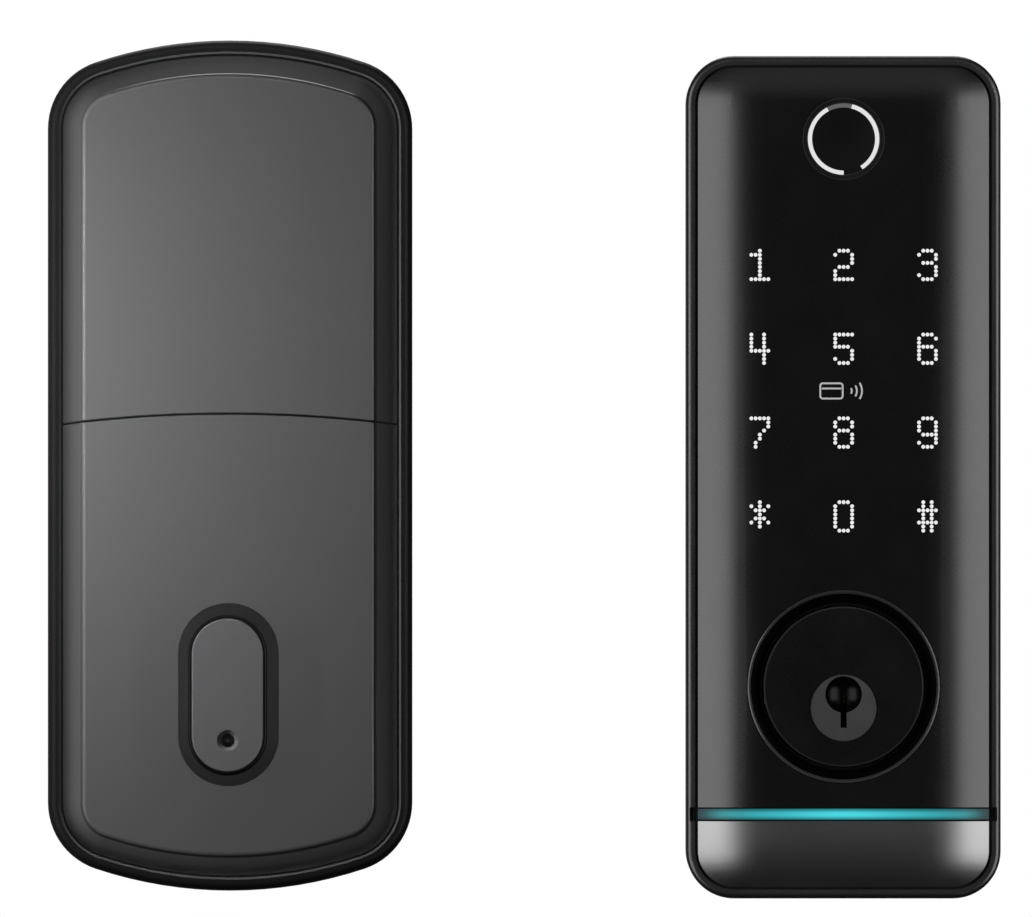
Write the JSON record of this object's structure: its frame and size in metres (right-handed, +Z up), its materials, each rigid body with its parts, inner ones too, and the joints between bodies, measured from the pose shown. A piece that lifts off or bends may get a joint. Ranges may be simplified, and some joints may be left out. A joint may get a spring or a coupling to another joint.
{
  "type": "keypad smart lock",
  "caption": "Keypad smart lock: exterior unit with touch keypad, fingerprint reader, light bar and key cylinder; interior unit with thumbturn and sliding battery cover.",
  "frame": {"origin": "axis of the exterior key plug and tailpiece, on the door face that the units' backs rest on", "axes": "-Y out of the front of both units, +Y into the door along the tailpiece, +X to the right seen from the front, +Z up"},
  "size_m": [0.188, 0.1012, 0.1693],
  "materials": {
    "gunmetal": "satin dark grey",
    "gloss_black": "gloss",
    "trim_metal": "satin",
    "light_bar": "translucent, lit",
    "light_ring": "translucent, lit",
    "bezel_metal": "satin",
    "steel": "satin",
    "screw_steel": "zinc plated",
    "plug_metal": "satin dark nickel",
    "guide_black": "gloss",
    "brass": "machined",
    "rubber": "matte",
    "case_black": "fine texture",
    "cover_grey": "satin",
    "knob_grey": "satin",
    "knob_black": "semi-gloss",
    "marker_metal": "polished",
    "tray_black": "moulded",
    "cell_label": "printed sleeve",
    "board_green": "solder mask",
    "copper": "etched copper",
    "usb_steel": "drawn steel",
    "motor_steel": "drawn steel",
    "gear_plastic": "acetal",
    "pinion_brass": "machined",
    "socket_white": "moulded",
    "buzzer_black": "moulded"
  },
  "bodies": {
    "units": {"batteries": "cell_label", "battery_tray": "tray_black", "bolt_posts": "steel", "button_board": "board_green", "buzzer": "buzzer_black", "cable_grommet": "rubber", "cable_socket": "socket_white", "card_antenna": "copper", "case_screws": "screw_steel", "chamber_cover": "brass", "contact_plates": "steel", "contact_springs": "steel", "cover_screws": "screw_steel", "cylinder_body": "gloss_black", "cylinder_collar": "gloss_black", "cylinder_screws": "screw_steel", "driver_pins": "brass", "ext_back_plate": "steel", "ext_control_board": "board_green", "ext_gasket": "rubber", "ext_housing": "gunmetal", "fingerprint_bezel": "bezel_metal", "fingerprint_light_ring": "light_ring", "fingerprint_module": "board_green", "fingerprint_pad": "gloss_black", "gearbox_plate": "steel", "housing_screws": "screw_steel", "idler_pin": "steel", "light_bar": "light_bar", "light_bar_board": "board_green", "lower_cover": "cover_grey", "lower_trim": "trim_metal", "main_board": "board_green", "motor_body": "motor_steel", "mounting_plate": "steel", "pin_springs": "steel", "rear_case": "case_black", "spindle_bushing": "brass", "touch_board": "board_green", "touch_panel": "gloss_black", "usb_board": "board_green", "usb_port": "usb_steel"},
    "thumbturn": {"thumbturn_knob": "knob_black", "knob_face": "knob_grey", "knob_marker": "marker_metal", "thumbturn_spindle": "steel", "spindle_clip": "steel", "drive_gear": "gear_plastic"},
    "idler": {"idler_gear": "gear_plastic"},
    "pinion": {"motor_pinion": "pinion_brass"},
    "battery_cover": {"battery_cover": "cover_grey"},
    "key_plug": {"key_plug": "plug_metal", "key_guide": "guide_black", "key_pins": "brass", "plug_clip": "steel", "tailpiece": "steel", "tailpiece_cap": "steel"},
    "reset_button": {"reset_button": "tray_black"}
  },
  "joints": [
    {"name": "thumbturn_turn", "type": "hinge", "parent": "units", "child": "thumbturn", "pos_m": [-0.121, -0.0304, 0.0027], "axis": [0, -1, 0], "range_deg": [-90, 90]},
    {"name": "idler_turn", "type": "hinge", "parent": "units", "child": "idler", "pos_m": [-0.13305, -0.0225, 0.0199], "axis": [0, -1, 0], "range_deg": [-361, 361]},
    {"name": "motor_turn", "type": "hinge", "parent": "units", "child": "pinion", "pos_m": [-0.12525, -0.025, 0.03341], "axis": [0, -1, 0], "range_deg": [-1201, 1201]},
    {"name": "battery_cover_slide", "type": "slide", "parent": "units", "child": "battery_cover", "axis": [0, 0, 1], "range_m": [0, 0.07]},
    {"name": "key_plug_turn", "type": "hinge", "parent": "units", "child": "key_plug", "pos_m": [0, -0.0217, 0], "axis": [0, -1, 0], "range_deg": [-90, 90]},
    {"name": "reset_button_press", "type": "slide", "parent": "units", "child": "reset_button", "axis": [0, 1, 0], "range_m": [0, 0.0005], "stiffness_N_per_m": 300}
  ],
  "couplings": [
    {"joint": "idler_turn", "follows": "thumbturn_turn", "ratio": -4},
    {"joint": "motor_turn", "follows": "thumbturn_turn", "ratio": 13.333}
  ]
}
